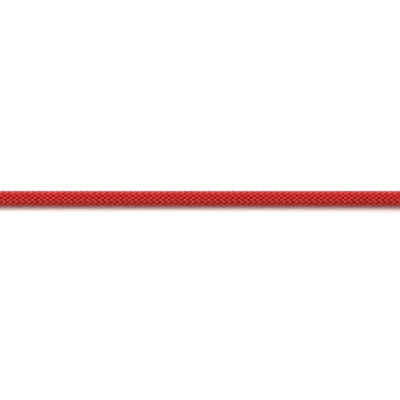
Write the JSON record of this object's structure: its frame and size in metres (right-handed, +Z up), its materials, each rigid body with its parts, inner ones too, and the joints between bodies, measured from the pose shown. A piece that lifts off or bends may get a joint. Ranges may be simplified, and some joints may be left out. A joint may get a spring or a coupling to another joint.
{
  "type": "dock line",
  "caption": "Red double-braided dock line lying straight from a whipped, sealed end into an oblong strapped coil, with a small eye splice on top.",
  "frame": {"origin": "middle of the footprint, on the surface that the line lies on", "axes": "+X along the straight line from its free end towards the coil, +Z up, +Y towards the straight line from the coil's middle"},
  "size_m": [0.524, 0.0706, 0.0544],
  "materials": {
    "braid_cover": "braided polyester multifilament, satin",
    "braid_core": "undyed braided polyester",
    "whipping_twine": "waxed twine",
    "melted_end": "polyester melted and set hard",
    "strap_webbing": "woven hook-and-loop webbing, matt"
  },
  "bodies": {
    "root": {"line_cover": "braid_cover", "line_core": "braid_core", "end_whipping": "whipping_twine", "sealed_tip": "melted_end", "line_coil": "braid_cover", "splice_throat": "braid_cover", "throat_whipping": "whipping_twine", "eye_cover": "braid_cover", "eye_core": "braid_core", "entry_side_strap": "strap_webbing", "far_side_strap": "strap_webbing"}
  },
  "joints": []
}
